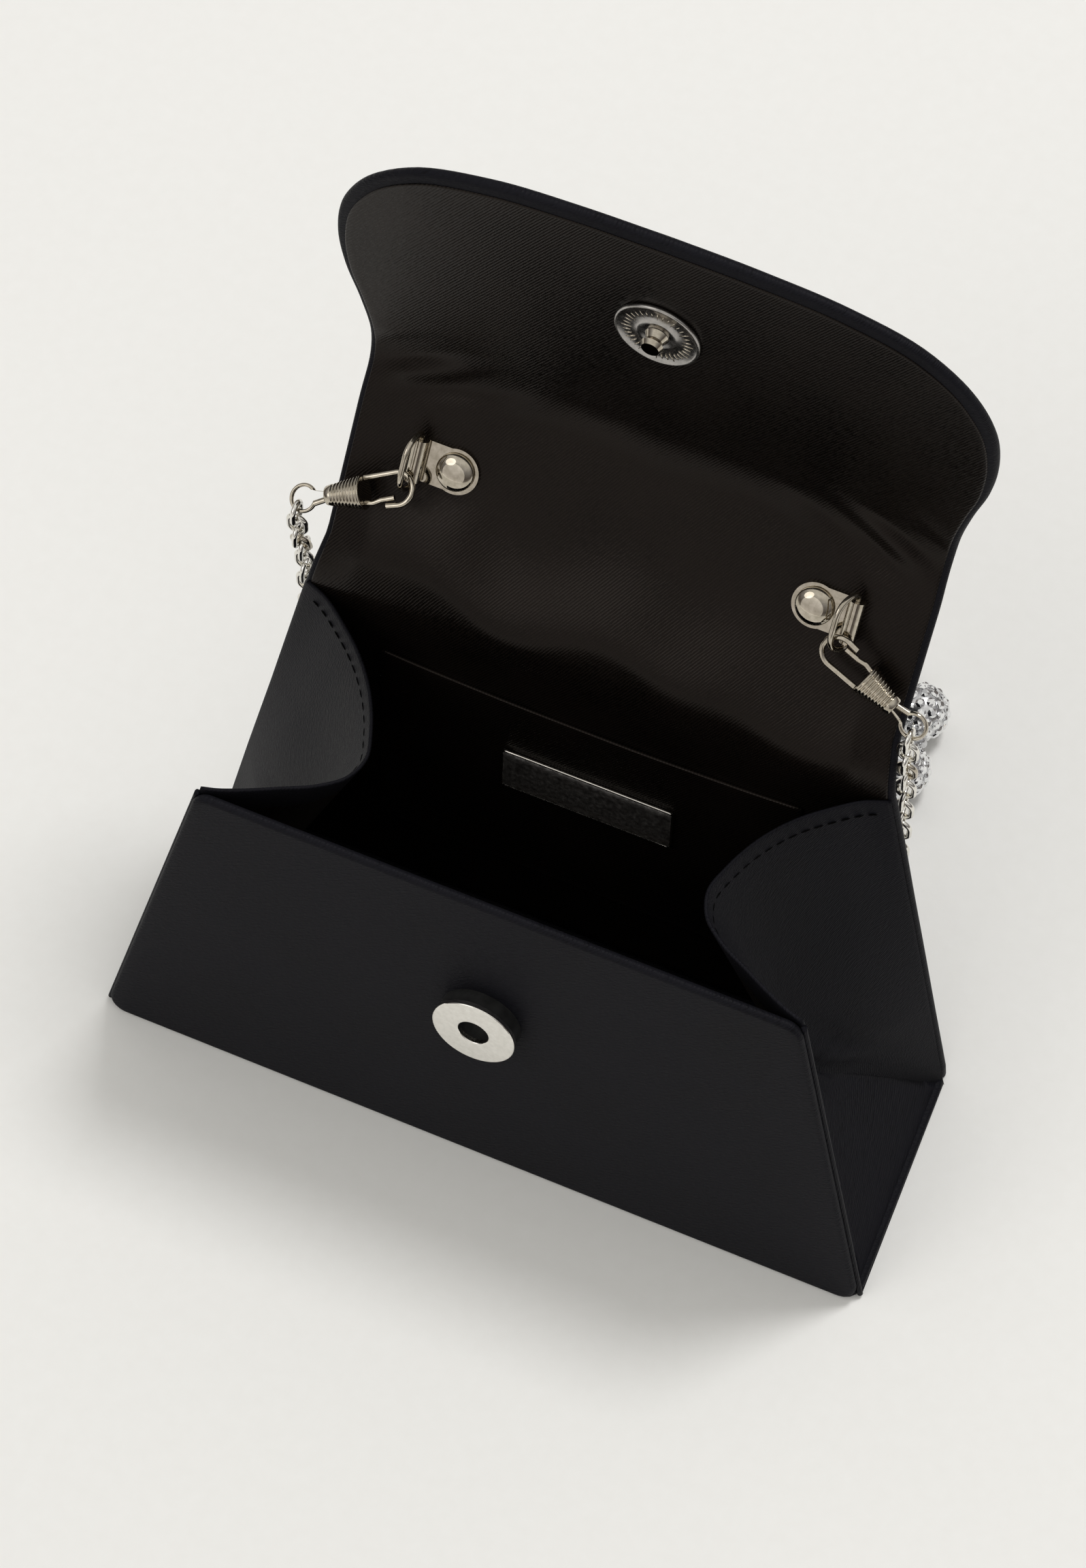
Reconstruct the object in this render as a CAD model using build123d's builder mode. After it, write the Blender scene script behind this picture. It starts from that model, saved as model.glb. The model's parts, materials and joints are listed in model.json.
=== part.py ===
from build123d import *
import os
from math import cos, pi, radians, sin

# A small satin evening bag that stands on its base with its flap raised.
# Millimetres. X is the width, the front faces -Y, Z is up, and the origin is the middle of the base's underside.

# ---------------------------------------------------------------- driving dimensions
base_width = 171.0  # along the front edge
base_back_width = 166.0  # along the back edge
base_depth = 57.0
front_height = 87.0  # of the front panel's outer face
front_lean = 10.5  # how far its top edge stands behind its bottom edge
front_top_width = 129.0
back_height = 97.0
back_lean = 6.0
back_top_width = 126.0

cover_thick = 0.6  # satin
board_thick = 1.2  # stiffening board
lining_thick = 0.6
board_inset = 1.5  # the board stops this far inside the satin's edge
fit_gap = 0.1  # between pieces that only touch

fold_gap = 2.0  # panels stop this far from a fold's axis
roof_angle = 55.4  # the open flap's first part above the horizontal, leaning back
roof_length = 52.2  # between the two fold axes
roof_width = 122.4
lip_angle = 90.7  # the open flap's second part
lip_length = 68.4
lobe_width = 134.6  # the flap's widest place
lobe_reach = 34.0  # how far it lies past the front fold
lobe_swell = 2.2  # the edge's swing outward, halfway there
corner_reach = 53.5  # where the rounded corner is halfway round
corner_half_width = 60.5
edge_reach = 67.6  # where the far edge straightens
edge_half_width = 36.0

gusset_thick = 0.7
gusset_lining_thick = 0.5
gusset_tuck = 27.0  # how far the side folds inward at the mouth
gusset_apex_in = 24.0  # and at its lower crease, from the base's edge
gusset_apex_height = 28.0
gusset_apex_y = 3.0
gusset_mouth_y = 2.0  # of the inward fold, at the mouth
hem_height = 10.0  # turned and stitched top band of the side

pocket_width = 93.0
pocket_low = 22.0  # along the back panel
pocket_high = 80.0
pocket_thick = 0.6
plate_width = 38.0
plate_height = 13.0
plate_thick = 0.8
plate_centre = 57.5  # along the back panel

snap_diameter = 18.0
snap_height = 4.5
snap_rim = 0.8  # steel face over the magnet
snap_hole = 6.6
snap_drop = 36.8  # below the front panel's top edge
snap_shift = -0.7  # socket and stud stand this far off the middle
stud_diameter = 17.5
stud_thick = 1.0
stud_reach = 39.7  # past the front fold
post_diameter = 4.8
post_height = 3.2
post_waist = 3.4
leg_width = 3.0  # the snap's two bent legs
leg_thick = 0.5
leg_spread = 7.0
backing_diameter = 16.0
backing_thick = 0.4

rivet_x = 38.0
rivet_y = 32.3  # past the back fold
cap_diameter = 7.6
cap_height = 1.3
shank_diameter = 3.0
tab_width = 9.6
tab_thick = 0.8
tube_x = 46.0  # the folded end that holds the ring
tube_outer = 3.4
ring_wire = 1.2
ring_play = 0.1  # radial, in the folded tab
ring_length = 13.0
tube_length = ring_length - 4.0  # of the folded tab, between the ring's bends
ring_width = 6.6
ring_corner = 1.1  # of its bends beside the tab
ring_bend = 4.0  # of its outer bends
ring_tilt = {"left": 80.0, "right": 115.0}  # from flat and outward

clip_angle = -26.5  # of the clip's axis on the flap, outward and down
clip_wire = 1.2
hook_radius = 3.3
hook_offset = 1.0  # bow's centre past the ring
sleeve_start = 8.0
sleeve_length = 8.2
sleeve_mouth = 7.2  # diameter
sleeve_neck = 3.8
rib_count = 7
rib_depth = 0.35
loop_radius = 2.6
loop_centre = 21.2
loop_opening = 60.0  # the angle its two wires leave open at the sleeve
loop_wire_y = 0.75  # of those wires, where they enter the sleeve
hold_angle = {"left": 32.0, "right": 25.0}  # round the ring's lower bend, from its lowest place outward
hook_roll = {"left": 25.0, "right": 0.0}  # the hook's lean off the flap, about the clip's axis

link_wire = 1.1
link_length = 6.4  # outside
link_width = 4.7
link_play = 0.15
upper_links = 3  # these ride on the clip
open_link = 3  # left out, so that the strap's loop is open where the clip's links meet the bag's
lower_chain_y = 38.2
ball_diameter = 13.0
ball_pitch = 15.4
first_ball = 23.5  # along the strand from its right end
last_ball = 9.5  # at least this far from its left end
core_diameter = 1.6
spacer_diameter = 4.6
spacer_length = 1.5
end_ring_radius = 2.2
end_cap_length = 4.0

# ---------------------------------------------------------------- worked out
panel_thick = cover_thick + board_thick + lining_thick
wall_base = panel_thick  # the walls stand on the base's three layers
front_y = -base_depth / 2
back_y = base_depth / 2
front_up = Vector(0, front_lean, front_height)
back_up = Vector(0, back_lean, back_height)
front_plane = Plane(origin=(0, front_y, 0), x_dir=(1, 0, 0), z_dir=(0, -front_height, front_lean))
back_plane = Plane(origin=(0, back_y, 0), x_dir=(-1, 0, 0), z_dir=(0, back_height, -back_lean))
fold = back_plane.from_local_coords(Vector(0, back_up.length, -panel_thick / 2))
roof_up = Vector(0, cos(radians(roof_angle)), sin(radians(roof_angle)))
roof_plane = Plane(origin=fold, x_dir=(1, 0, 0), z_dir=(0, -roof_up.Z, roof_up.Y))
waist = fold + roof_up * roof_length
lip_up = Vector(0, cos(radians(lip_angle)), sin(radians(lip_angle)))
lip_plane = Plane(origin=waist, x_dir=(1, 0, 0), z_dir=(0, -lip_up.Z, lip_up.Y))
sides = {"left": -1, "right": 1}

os.makedirs("parts", exist_ok=True)


def save(part, label):
    """Label a finished piece and write its STEP file."""
    part.label = label
    export_step(part, f"parts/{label}.step")


def wall_corners(height, bottom_width, top_width, inset):
    """The corners of a tapering panel, from its bottom edge up."""
    low = bottom_width / 2 - inset
    high = top_width / 2 - inset
    return (-low, 0), (low, 0), (high, height - inset), (-high, height - inset)


def layers(first):
    """Each of a panel's layers: its name, how deep it starts below the outer face, its thickness and its inset."""
    yield "cover", first, cover_thick, 0.0
    yield "board", first + cover_thick, board_thick, board_inset
    yield "lining", first + cover_thick + board_thick, lining_thick, 0.0


# ---------------------------------------------------------------- base: satin, board and lining
for layer, depth, thick, inset in layers(0):
    with BuildPart() as base:
        with BuildSketch(Plane.XY.offset(depth)):
            with BuildLine():
                Polyline(
                    (-base_width / 2 + inset, front_y + inset),
                    (base_width / 2 - inset, front_y + inset),
                    (base_back_width / 2 - inset, back_y - inset),
                    (-base_back_width / 2 + inset, back_y - inset),
                    close=True,
                )
            make_face()
        extrude(amount=thick)
    save(base.part, f"base_{layer}")

# ---------------------------------------------------------------- front panel, slotted for the snap's legs
snap_y = front_up.length - snap_drop
for layer, depth, thick, inset in layers(0):
    with BuildPart() as front:
        with BuildSketch(front_plane.offset(-depth - thick)):
            with BuildLine():
                Polyline(*wall_corners(front_up.length, base_width, front_top_width, inset), close=True)
            make_face()
            if layer != "lining":
                with Locations((snap_shift - leg_spread / 2, snap_y), (snap_shift + leg_spread / 2, snap_y)):
                    Rectangle(leg_thick + 2 * fit_gap, leg_width + 2 * fit_gap, mode=Mode.SUBTRACT)
        extrude(amount=thick)
        if layer == "lining":
            with BuildSketch(front_plane.offset(-depth)):
                with Locations((snap_shift, snap_y)):
                    Circle(backing_diameter / 2 + fit_gap)
            extrude(amount=-backing_thick - fit_gap, mode=Mode.SUBTRACT)
        split(bisect_by=Plane.XY.offset(wall_base), keep=Keep.TOP)
    save(front.part, f"front_{layer}")

# ---------------------------------------------------------------- back panel, which stops short of the back fold
back_reach = back_up.length - fold_gap
back_end_width = back_top_width + (base_back_width - back_top_width) * fold_gap / back_up.length
for layer, depth, thick, inset in layers(0):
    with BuildPart() as back:
        with BuildSketch(back_plane.offset(-depth - thick)):
            with BuildLine():
                Polyline(*wall_corners(back_reach, base_back_width, back_end_width, inset), close=True)
            make_face()
        extrude(amount=thick)
        split(bisect_by=Plane.XY.offset(wall_base), keep=Keep.TOP)
    save(back.part, f"back_{layer}")

# ---------------------------------------------------------------- slip pocket and bare name plate on the back lining
pocket_plane = back_plane.offset(-panel_thick - fit_gap)
with BuildPart() as pocket:
    with BuildSketch(pocket_plane.offset(-pocket_thick)):
        with Locations((0, (pocket_low + pocket_high) / 2)):
            Rectangle(pocket_width, pocket_high - pocket_low)
    extrude(amount=pocket_thick)
save(pocket.part, "slip_pocket")

with BuildPart() as name_plate:
    with BuildSketch(pocket_plane.offset(-pocket_thick - fit_gap - plate_thick)):
        with Locations((0, plate_centre)):
            Rectangle(plate_width, plate_height)
    extrude(amount=plate_thick)
    chamfer(name_plate.faces().sort_by(Axis.Y)[0].edges(), 0.25)
save(name_plate.part, "name_plate")


# ---------------------------------------------------------------- sides that fold inward, in satin and lining
def strip(line, near, far, height, slope):
    """A closed strip along a line of (x, y) points, between two distances off it, on a level or sloping plane."""
    near_side, far_side = [], []
    for n, (x, y) in enumerate(line):
        before = line[max(n - 1, 0)]
        after = line[min(n + 1, len(line) - 1)]
        run = Vector(after[0] - before[0], after[1] - before[1], 0)
        sideways = Vector(run.Y, -run.X, 0).normalized()
        near_side.append(Vector(x, y, 0) + sideways * near)
        far_side.append(Vector(x, y, 0) + sideways * far)
    start_y = line[0][1]
    return [Vector(p.X, p.Y, height + slope * (p.Y - start_y)) for p in near_side + far_side[::-1]]


def folded(front_end, back_end, tip, roundness):
    """A side's cross-section: two walls that meet in a rounded inward fold. roundness is a share of each wall."""
    line = [front_end]
    for n in range(fold_steps + 1):
        share = n / fold_steps
        ends = (1 - share) ** 2, 2 * share * (1 - share), share**2
        start = [t + (e - t) * roundness for t, e in zip(tip, front_end)]
        finish = [t + (e - t) * roundness for t, e in zip(tip, back_end)]
        line.append(tuple(ends[0] * s + ends[1] * t + ends[2] * f for s, t, f in zip(start, tip, finish)))
    return line + [back_end]


def front_edge(height, side):
    """Where a side meets the front panel, at a height."""
    share = height / front_height
    half = base_width / 2 + (front_top_width - base_width) / 2 * share
    return side * (half - edge_inset), front_y + front_lean * share + wall_gap


def back_edge(height, side):
    """Where a side meets the back panel, at a height."""
    share = height / back_height
    half = base_back_width / 2 + (back_top_width - base_back_width) / 2 * share
    return side * (half - edge_inset), back_y + back_lean * share - wall_gap


fold_steps = 4
wall_gap = panel_thick + 0.6
edge_inset = 0.3
back_end_height = back_height - fold_gap
mouth_run = back_edge(back_end_height, 1)[1] - front_edge(front_height, 1)[1]
mouth_slope = (back_end_height - front_height) / mouth_run
mouth_tip_x = front_top_width / 2 - gusset_tuck
apex_tip_x = base_width / 2 - gusset_apex_in
for name, side in sides.items():
    foot_height = wall_base + fit_gap
    foot_front, foot_back = front_edge(foot_height, side), back_edge(foot_height, side)
    foot_tip = (foot_front[0] + foot_back[0]) / 2 - side * 1.5, (foot_front[1] + foot_back[1]) / 2
    foot = folded(foot_front, foot_back, foot_tip, 0.5), foot_height, 0
    apex_front, apex_back = front_edge(gusset_apex_height, side), back_edge(gusset_apex_height, side)
    apex = folded(apex_front, apex_back, (side * apex_tip_x, gusset_apex_y), 0.2), gusset_apex_height, 0
    tops = []
    for drop in (0, hem_height, hem_height + fit_gap):
        share = drop / (front_height - gusset_apex_height)
        tip = side * (mouth_tip_x + (apex_tip_x - mouth_tip_x) * share), gusset_mouth_y
        ends = front_edge(front_height - drop, side), back_edge(back_end_height - drop, side)
        tops.append((folded(*ends, tip, 0.4), front_height - drop, mouth_slope))
    mouth, seam, wall_top = tops
    # the lining lies on the inner face of the satin, toward the middle of the bag
    satin = 0, side * gusset_thick
    lining = -side * gusset_lining_thick, 0
    hem = lining[0], satin[1]
    pieces = {
        f"gusset_{name}": (satin, (foot, apex, wall_top)),
        f"gusset_lining_{name}": (lining, (foot, apex, wall_top)),
        f"gusset_hem_{name}": (hem, (seam, mouth)),
    }
    for label, ((near, far), sections) in pieces.items():
        with BuildPart() as wall:
            for line, height, slope in sections:
                corners = strip(line, near, far, height, slope)
                level = Plane(origin=corners[0], x_dir=(1, 0, 0), z_dir=(0, -slope, 1))
                with BuildSketch(level):
                    with BuildLine():
                        Polyline(*[level.to_local_coords(c) for c in corners], close=True)
                    make_face()
            loft(ruled=True)
        save(wall.part, label)

# ---------------------------------------------------------------- flap's first part, over the mouth when closed
for layer, depth, thick, inset in layers(-panel_thick / 2):
    with BuildPart() as roof:
        with BuildSketch(roof_plane.offset(depth)):
            with Locations((0, roof_length / 2)):
                Rectangle(roof_width - 2 * inset, roof_length - 2 * fold_gap - 2 * inset)
            with Locations((-rivet_x, rivet_y), (rivet_x, rivet_y)):
                Circle(shank_diameter / 2 + fit_gap, mode=Mode.SUBTRACT)
        extrude(amount=thick)
    save(roof.part, f"roof_{layer}")

# ---------------------------------------------------------------- flap's second part, which hangs over the front
for layer, depth, thick, inset in layers(-panel_thick / 2):
    with BuildPart() as lip:
        with BuildSketch(lip_plane.offset(depth)):
            with BuildLine():
                right = Spline(
                    (roof_width / 2 - inset, fold_gap + inset),
                    (roof_width / 2 + lobe_swell - inset, lobe_reach * 0.45),
                    (lobe_width / 2 - inset, lobe_reach),
                    (corner_half_width - inset, corner_reach - inset),
                    (edge_half_width, edge_reach - inset),
                    (0, lip_length - inset),
                    tangents=((0, 1), (-1, 0)),
                )
                mirror(right, about=Plane.YZ)
                Line((-roof_width / 2 + inset, fold_gap + inset), (roof_width / 2 - inset, fold_gap + inset))
            make_face()
            if layer != "cover":
                with Locations((snap_shift - leg_spread / 2, stud_reach), (snap_shift + leg_spread / 2, stud_reach)):
                    Rectangle(leg_thick + 2 * fit_gap, leg_width + 2 * fit_gap, mode=Mode.SUBTRACT)
        extrude(amount=thick)
        if layer == "cover":
            with BuildSketch(lip_plane.offset(depth + thick)):
                with Locations((snap_shift, stud_reach)):
                    Circle(backing_diameter / 2 + fit_gap)
            extrude(amount=-backing_thick - fit_gap, mode=Mode.SUBTRACT)
    save(lip.part, f"lip_{layer}")


# ---------------------------------------------------------------- magnetic snap's socket on the front panel
snap_plane = front_plane.shift_origin(front_plane.from_local_coords(Vector(snap_shift, snap_y, 0)))
with BuildPart() as snap_magnet:
    with BuildSketch(snap_plane):
        Circle(snap_diameter / 2 - 0.4)
        Circle(snap_hole / 2, mode=Mode.SUBTRACT)
    extrude(amount=snap_height - snap_rim - 0.3)
save(snap_magnet.part, "snap_magnet")

with BuildPart() as snap_face:
    with BuildSketch(snap_plane.offset(snap_height - snap_rim - 0.3)):
        Circle(snap_diameter / 2)
        Circle(snap_hole / 2, mode=Mode.SUBTRACT)
    extrude(amount=snap_rim + 0.3)
    fillet(snap_face.edges().filter_by(GeomType.CIRCLE).sort_by(Axis.Y)[:2], 0.25)
save(snap_face.part, "snap_face")

with BuildPart() as snap_core:
    with BuildSketch(snap_plane):
        Circle(snap_hole / 2 - fit_gap)
    extrude(amount=0.5)
save(snap_core.part, "snap_core")


# ---------------------------------------------------------------- magnetic snap's stud on the flap
lip_face = lip_plane.offset(panel_thick / 2)
stud_plane = lip_face.shift_origin(lip_face.from_local_coords(Vector(snap_shift, stud_reach, 0)))
with BuildPart() as stud_plate:
    with BuildSketch(stud_plane):
        Circle(stud_diameter / 2)
    extrude(amount=stud_thick)
    chamfer(stud_plate.edges().filter_by(GeomType.CIRCLE).sort_by(Axis.Y)[:1], 0.3)
save(stud_plate.part, "stud_plate")

with BuildPart() as stud_post:
    with BuildSketch(Plane(origin=stud_plane.origin, x_dir=stud_plane.x_dir, z_dir=-stud_plane.y_dir)):
        with BuildLine():
            Polyline(
                (0, stud_thick),
                (post_diameter / 2, stud_thick),
                (post_waist / 2, stud_thick + 0.4 * post_height),
                (post_diameter / 2 - 0.1, stud_thick + 0.7 * post_height),
                (post_diameter / 2 - 0.6, stud_thick + post_height),
                (0, stud_thick + post_height),
                close=True,
            )
        make_face()
    revolve(axis=Axis(stud_plane.origin, stud_plane.z_dir))
save(stud_post.part, "stud_post")

# ---------------------------------------------------------------- thin backing discs whose legs pass through the board
backings = {
    "snap_backing": (snap_plane, cover_thick + board_thick),
    "stud_backing": (stud_plane, lining_thick + board_thick),
}
for name, (plane, wall) in backings.items():
    with BuildPart() as disc:
        with BuildSketch(plane.offset(-wall - backing_thick)):
            Circle(backing_diameter / 2)
        extrude(amount=backing_thick)
        with BuildSketch(plane.offset(-wall)):
            with GridLocations(leg_spread, 1, 2, 1):
                Rectangle(leg_thick, leg_width)
        extrude(amount=wall - fit_gap)
    save(disc.part, name)


# ---------------------------------------------------------------- strap anchors: a riveted tab folded round a ring
def on_roof(x, y, z):
    """A point given across the flap, along it from the back fold, and off its middle layer."""
    return roof_plane.from_local_coords(Vector(x, y, z))


def along_roof(x, y, z):
    """A direction given in the same way."""
    return on_roof(x, y, z) - on_roof(0, 0, 0)


face_level = panel_thick / 2
tube_level = face_level + tube_outer / 2
clips = {}
for name, side in sides.items():
    tube_plane = Plane(origin=on_roof(side * tube_x, rivet_y - tube_length / 2, tube_level), z_dir=roof_up)
    with BuildPart() as anchor:
        with BuildSketch(roof_plane.offset(face_level)):
            with Locations((side * rivet_x, rivet_y)):
                Circle(tab_width / 2)
            with Locations((side * (rivet_x + tube_x) / 2, rivet_y)):
                Rectangle(tube_x - rivet_x, tube_length)
            with Locations((side * rivet_x, rivet_y)):
                Circle(shank_diameter / 2 + fit_gap, mode=Mode.SUBTRACT)
        extrude(amount=tab_thick)
        with BuildSketch(tube_plane):
            Circle(tube_outer / 2)
        extrude(amount=tube_length)
        with BuildSketch(tube_plane):
            Circle(ring_wire / 2 + ring_play)
        extrude(amount=tube_length, mode=Mode.SUBTRACT)
    save(anchor.part, f"anchor_{name}")

    with BuildPart() as rivet:
        with BuildSketch(roof_plane.offset(-face_level + cover_thick)):
            with Locations((side * rivet_x, rivet_y)):
                Circle(shank_diameter / 2)
        extrude(amount=2 * face_level - cover_thick + tab_thick)
        with BuildSketch(roof_plane.offset(face_level + tab_thick)):
            with Locations((side * rivet_x, rivet_y)):
                Circle(cap_diameter / 2)
        extrude(amount=cap_height)
        dome_edge = rivet.edges().filter_by(GeomType.CIRCLE).filter_by(lambda e: e.radius > cap_diameter / 2 - 0.1)
        fillet(dome_edge.sort_by(Axis(roof_plane.origin, roof_plane.z_dir))[-1:], cap_height - 0.15)
    save(rivet.part, f"rivet_{name}")

    # ring: a D shape whose straight side turns inside the folded tab
    tilt = radians(ring_tilt[name])
    ring_out = along_roof(side * cos(tilt), 0, sin(tilt))
    half_round = (ring_width - ring_wire) / 2
    half_side = (ring_length - ring_wire) / 2
    ring_plane = Plane(
        origin=on_roof(side * tube_x, rivet_y, tube_level) + ring_out * half_round,
        x_dir=roof_up,
        z_dir=roof_up.cross(ring_out),
    )
    with BuildPart() as ring:
        with BuildLine(ring_plane) as wire:
            corners = (half_side, -half_round), (half_side, half_round), (-half_side, half_round), (-half_side, -half_round)
            FilletPolyline(*corners, radius=[ring_corner, ring_bend, ring_bend, ring_corner], close=True)
            bent = wire.wire()
        with BuildSketch(Plane(origin=bent @ 0, z_dir=bent % 0)):
            Circle(ring_wire / 2)
        sweep(path=bent)
    save(ring.part, f"ring_{name}")

    # where the clip's hook holds the ring, on its lower outer bend
    clip_dir = along_roof(side * cos(radians(clip_angle)), sin(radians(clip_angle)), 0)
    bend_centre = ring_plane.from_local_coords(Vector(ring_bend - half_side, half_round - ring_bend, 0))
    turn = radians(hold_angle[name])
    hold = bend_centre + (ring_out * sin(turn) - roof_up * cos(turn)) * ring_bend
    flat = roof_plane.z_dir.rotate(Axis((0, 0, 0), clip_dir), hook_roll[name])
    clips[name] = Plane(origin=hold, x_dir=clip_dir, z_dir=flat)

# ---------------------------------------------------------------- spring clips
hook_tip = hook_offset + 2.4  # where the hook's free end stops
gate_inset = clip_wire + 0.25  # the gate's end lies this far inside the hook
neck_end = sleeve_start + sleeve_length
for name, side in sides.items():
    clip = clips[name]
    with BuildPart() as hook:
        with BuildLine(clip) as wire:
            spine = Line((sleeve_start - fit_gap, -hook_radius + 0.5), (hook_offset, -hook_radius))
            bow = CenterArc((hook_offset, 0), hook_radius, 270, -180)
            Line((hook_offset, hook_radius), (hook_tip, hook_radius - 0.05))
        with BuildSketch(Plane(origin=wire.line @ 0, z_dir=wire.line % 0)):
            Circle(clip_wire / 2)
        sweep()
    save(hook.part, f"hook_{name}")

    gate_root = (sleeve_start - fit_gap, hook_radius - 1.2)
    with BuildPart() as gate:
        with BuildLine(clip) as wire:
            FilletPolyline(
                gate_root,
                (sleeve_start - 1.6, hook_radius - 0.9),
                (hook_tip + 1.2, hook_radius - gate_inset + 0.1),
                (hook_offset + 0.6, hook_radius - gate_inset - 0.1),
                radius=2.0,
            )
        with BuildSketch(Plane(origin=wire.line @ 0, z_dir=wire.line % 0)):
            Circle(0.45 * clip_wire)
        sweep()
    save(gate.part, f"gate_{name}")

    with BuildPart() as sleeve:
        with BuildSketch(clip):
            with BuildLine():
                outline = [(sleeve_start, 0), (sleeve_start, sleeve_mouth / 2)]
                rib = (sleeve_length - 1.6) / rib_count
                for n in range(rib_count):
                    for share, dip in ((0.15, 0.0), (0.5, rib_depth), (0.85, 0.0)):
                        place = sleeve_start + 0.2 + rib * (n + share)
                        taper = (place - sleeve_start) / sleeve_length
                        outline.append((place, (sleeve_mouth + (sleeve_neck - sleeve_mouth) * taper) / 2 - dip))
                outline += [(neck_end, sleeve_neck / 2), (neck_end, 0)]
                Polyline(*outline, close=True)
            make_face()
        revolve(axis=Axis(clip.origin, clip.x_dir))
    save(sleeve.part, f"sleeve_{name}")

    with BuildPart() as loop:
        with BuildLine(clip) as wire:
            root = CenterArc((loop_centre, 0), loop_radius, 180 - loop_opening / 2, loop_opening - 360)
            Line((neck_end + fit_gap, loop_wire_y), root @ 0)
            Line(root @ 1, (neck_end + fit_gap, -loop_wire_y))
        with BuildSketch(Plane(origin=wire.line @ 0, z_dir=wire.line % 0)):
            Circle(clip_wire / 2)
        sweep()
    save(loop.part, f"clip_loop_{name}")


# ---------------------------------------------------------------- chains
def chain_link(centre, broad):
    """One upright link, as broad as its width along the given direction."""
    plane = Plane(origin=centre, x_dir=(0, 0, 1), z_dir=Vector(0, 0, 1).cross(broad))
    round_part = (link_width - link_wire) / 2
    straight = (link_length - link_wire) / 2 - round_part
    with BuildPart(mode=Mode.PRIVATE) as link:
        with BuildLine(plane):
            Line((-straight, round_part), (straight, round_part))
            CenterArc((straight, 0), round_part, 90, -180)
            Line((straight, -round_part), (-straight, -round_part))
            CenterArc((-straight, 0), round_part, 270, -180)
        with BuildSketch(Plane(origin=plane.from_local_coords(Vector(0, round_part, 0)), z_dir=(0, 0, 1))):
            Circle(link_wire / 2)
        sweep()
    return link.part


strand_level = ball_diameter / 2
link_half = (link_length - link_wire) / 2
ends = {}
for name, side in sides.items():
    clip = clips[name]
    loop_middle = clip.from_local_coords(Vector(loop_centre, 0, 0))
    down = -(Vector(0, 0, 1) - clip.z_dir * clip.z_dir.Z).normalized()
    hang = loop_middle + down * loop_radius
    first_z = hang.Z + (clip_wire + link_wire) / 2 + link_play - link_half
    last_z = strand_level + link_half
    spaces = 2 * round((first_z - last_z) / (link_length - 2 * link_wire - link_play) / 2 + 0.5) - 1
    link_pitch = (first_z - last_z) / spaces
    ends[name] = Vector(side * abs(hang.X), lower_chain_y, strand_level)
    upper, lower = [], []
    for n in range(spaces + 1):
        if n == open_link:
            continue
        high = n < upper_links
        centre = Vector(hang.X, hang.Y if high else lower_chain_y, first_z - n * link_pitch)
        (upper if high else lower).append(chain_link(centre, Vector(0, 1, 0) if n % 2 == 0 else Vector(1, 0, 0)))
    save(Compound(children=upper), f"chain_top_{name}")
    save(Compound(children=lower), f"chain_{name}")

# ---------------------------------------------------------------- ball strand, lying on the floor behind the bag
ring_ahead = end_ring_radius - (link_wire + link_wire) / 2 - link_play
cap_start = ring_ahead + end_ring_radius + link_wire / 2 - 0.2
for name, end in ends.items():
    with BuildPart() as strand_end:
        ring_centre = end + Vector(0, ring_ahead, 0)
        with BuildSketch(Plane(origin=ring_centre + Vector(0, end_ring_radius, 0), z_dir=(0, 0, 1))):
            Circle(link_wire / 2)
        revolve(axis=Axis(ring_centre, (1, 0, 0)))
        with BuildSketch(Plane(origin=end + Vector(0, cap_start, 0), z_dir=(0, 1, 0))):
            Circle(0.7)
        with BuildSketch(Plane(origin=end + Vector(0, cap_start + end_cap_length, 0), z_dir=(0, 1, 0))):
            Circle(spacer_diameter / 2)
        loft()
    save(strand_end.part, f"strand_end_{name}")

core_start = lower_chain_y + cap_start + end_cap_length
right_x, left_x = ends["right"].X, ends["left"].X
route = [
    (right_x, core_start),
    (62.6, 52),
    (52, 59),
    (41.5, 68),
    (39, 79.5),
    (44.8, 91),
    (42.5, 107),
    (27, 116.5),
    (6, 119),
    (-16, 117),
    (-36, 109),
    (-50, 94),
    (-58, 76),
    (left_x + 1.2, 59),
    (left_x, core_start),
]
runs = [Vector(*b) - Vector(*a) for a, b in zip(route, route[1:])]
radii = []
for before, after in zip(runs, runs[1:]):
    turn = radians(before.get_angle(after))
    radii.append(0.45 * min(before.length, after.length) / (sin(turn / 2) / cos(turn / 2)))
print("strand radii", [round(r, 1) for r in radii])
with BuildPart() as core:
    with BuildLine(Plane.XY.offset(strand_level)) as strand:
        FilletPolyline(*route, radius=radii)
    strand_path = strand.wire()
    with BuildSketch(Plane(origin=strand_path @ 0, z_dir=strand_path % 0)):
        Circle(core_diameter / 2)
    sweep()
save(core.part, "strand_core")
strand_length = strand_path.length
by_length = strand_length * pi * core_diameter**2 / 4
print("strand length", round(strand_length, 1), "core volume", core.part.volume / by_length)

ball_count = int((strand_length - first_ball - last_ball) / ball_pitch) + 1
with BuildPart() as balls:
    for n in range(ball_count):
        with Locations(strand_path @ ((first_ball + n * ball_pitch) / strand_length)):
            Sphere(ball_diameter / 2)
save(balls.part, "strand_balls")
with BuildPart() as spacers:
    for n in range(ball_count - 1):
        share = (first_ball + (n + 0.5) * ball_pitch) / strand_length
        with BuildSketch(Plane(origin=strand_path @ share, z_dir=strand_path % share)):
            Circle(spacer_diameter / 2)
        extrude(amount=spacer_length / 2, both=True)
save(spacers.part, "strand_spacers")
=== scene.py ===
import json
from math import atan2, cos, hypot, pi, radians, sin, tan

import bpy
import numpy as np
from mathutils import Matrix, Vector


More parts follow.
